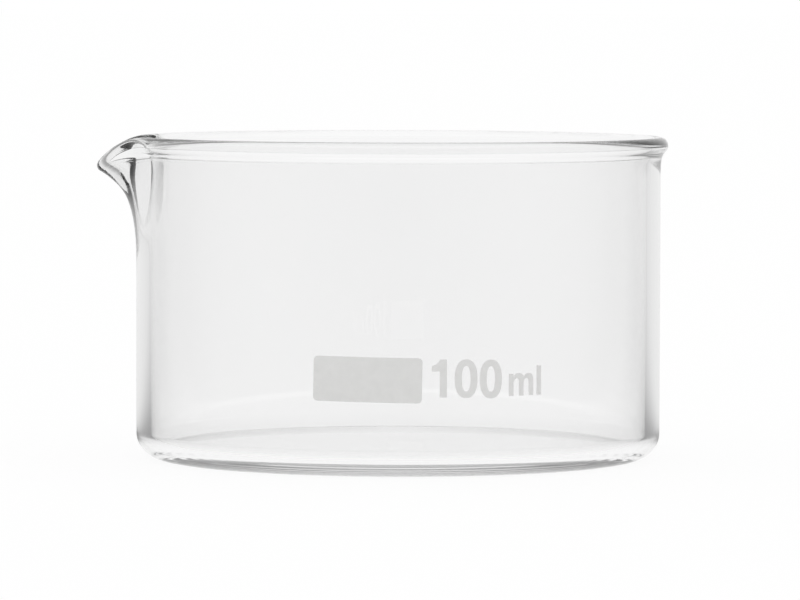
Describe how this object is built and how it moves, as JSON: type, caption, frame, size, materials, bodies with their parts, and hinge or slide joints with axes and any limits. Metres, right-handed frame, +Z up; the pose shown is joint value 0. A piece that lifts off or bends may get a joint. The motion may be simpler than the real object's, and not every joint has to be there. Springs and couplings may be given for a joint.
{
  "type": "crystallizing dish",
  "caption": "Low round laboratory glass dish with a flat floor, a flared fire-polished rim and a pulled pouring spout.",
  "frame": {"origin": "on the dish's vertical axis, at the plane of its flat underside", "axes": "+Z up along the dish's axis, the spout points to -X, the marking field faces -Y"},
  "size_m": [0.0763, 0.072, 0.043],
  "materials": {
    "clear_glass": "clear colourless borosilicate glass, fire polished",
    "enamel": "thin fired white enamel, slightly glossy"
  },
  "bodies": {
    "root": {"dish": "clear_glass", "marking_field": "enamel"}
  },
  "joints": []
}
